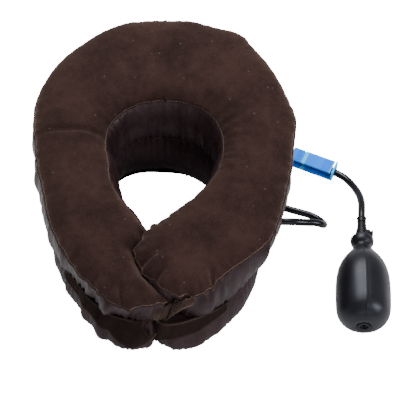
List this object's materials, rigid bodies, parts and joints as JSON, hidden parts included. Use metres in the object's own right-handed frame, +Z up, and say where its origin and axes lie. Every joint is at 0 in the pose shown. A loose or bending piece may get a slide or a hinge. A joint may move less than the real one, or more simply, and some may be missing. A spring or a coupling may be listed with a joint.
{
  "type": "inflatable cervical traction collar",
  "caption": "Two-tier inflatable neck traction collar with velvet top and satin sides, overlapped front ends, air hose, pinch clamp and rubber squeeze bulb",
  "frame": {"origin": "on the floor, in the flat underside of the lower tier, at the middle of the collar's base", "axes": "+Z up through the tiers, +Y to the high back of the collar, -Y to the overlapped front ends, +X to the hose and bulb side; metres"},
  "size_m": [0.3514, 0.3173, 0.1302],
  "materials": {
    "velvet": "dark brown short-pile velvet with a soft sheen",
    "satin": "brown satin-weave nylon, gathered at the seams",
    "binding": "narrow brown edge binding, stitched",
    "base_cloth": "brown plain cloth, matt",
    "film": "thin air-tight film",
    "hook_tape": "dark brown hook tape",
    "hose_rubber": "black, glossy extruded tube",
    "bulb_rubber": "black moulded rubber, satin",
    "black_plastic": "black moulded plastic, satin",
    "clamp_blue": "bright blue moulded plastic, satin",
    "spring_steel": "drawn spring wire"
  },
  "bodies": {
    "lower_tier": {"tier_divider_panel": "satin", "bottom_panel": "base_cloth", "lower_inner_wall": "satin", "lower_outer_wall": "satin", "lower_bladder": "film", "lower_loop_band": "velvet", "lower_hook_band": "velvet", "port_flange": "black_plastic", "port_nipple": "black_plastic", "transfer_tube": "black_plastic", "air_hose": "hose_rubber", "hose_ferrule": "black_plastic", "clamp_base": "clamp_blue", "valve_body": "black_plastic", "inlet_valve_seat": "black_plastic", "release_spring": "spring_steel"},
    "upper_tier": {"upper_top_panel": "velvet", "upper_inner_wall": "satin", "upper_outer_wall": "satin", "upper_bladder": "film", "upper_edge_binding": "binding", "upper_closure_fold": "velvet"},
    "closing_tab": {"lower_hook_tab": "velvet", "hook_patch": "hook_tape"},
    "clamp_arm": {"clamp_lever": "clamp_blue"},
    "bulb_left": {"bulb_left_half": "bulb_rubber"},
    "bulb_right": {"bulb_right_half": "bulb_rubber"},
    "button": {"release_button": "black_plastic"},
    "inlet_disc": {"inlet_valve_disc": "hose_rubber"},
    "outlet_flap": {"outlet_valve_flap": "hose_rubber"}
  },
  "joints": [
    {"name": "collar_deflate", "type": "hinge", "parent": "lower_tier", "child": "upper_tier", "pos_m": [0, -0.146, 0.035], "axis": [-1, 0, 0], "range_deg": [0, 11], "deforming": ["upper_inner_wall", "upper_outer_wall", "upper_bladder", "upper_top_panel", "upper_closure_fold", "upper_edge_binding", "tier_divider_panel", "lower_inner_wall", "lower_outer_wall", "lower_bladder"]},
    {"name": "tab_peel", "type": "hinge", "parent": "lower_tier", "child": "closing_tab", "pos_m": [-0.0446, -0.1537, 0.0204], "axis": [0, 0, -1], "range_deg": [0, 130]},
    {"name": "clamp_close", "type": "hinge", "parent": "lower_tier", "child": "clamp_arm", "pos_m": [0.14756, 0.0791, 0.0117], "axis": [0.4258, 0.9048, 0], "range_deg": [0, 13], "stiffness_Nm_per_rad": 0.05, "deforming": ["air_hose"]},
    {"name": "bulb_squeeze_left", "type": "slide", "parent": "lower_tier", "child": "bulb_left", "axis": [0.9977, -0.068, 0], "range_m": [0, 0.012], "stiffness_N_per_m": 400, "deforming": ["bulb_left_half", "bulb_right_half"]},
    {"name": "bulb_squeeze_right", "type": "slide", "parent": "lower_tier", "child": "bulb_right", "axis": [0.9977, -0.068, 0], "range_m": [-0.012, 0], "stiffness_N_per_m": 400},
    {"name": "release_press", "type": "slide", "parent": "lower_tier", "child": "button", "axis": [-0.9977, 0.068, 0], "range_m": [0, 0.0016], "stiffness_N_per_m": 500, "deforming": ["release_spring"]},
    {"name": "inlet_valve_lift", "type": "slide", "parent": "lower_tier", "child": "inlet_disc", "axis": [0.068, 0.9977, 0], "range_m": [0, 0.002]},
    {"name": "outlet_valve_lift", "type": "slide", "parent": "lower_tier", "child": "outlet_flap", "axis": [0.068, 0.9977, 0], "range_m": [0, 0.002]}
  ],
  "couplings": [
    {"joint": "bulb_squeeze_right", "follows": "bulb_squeeze_left", "ratio": -1}
  ]
}
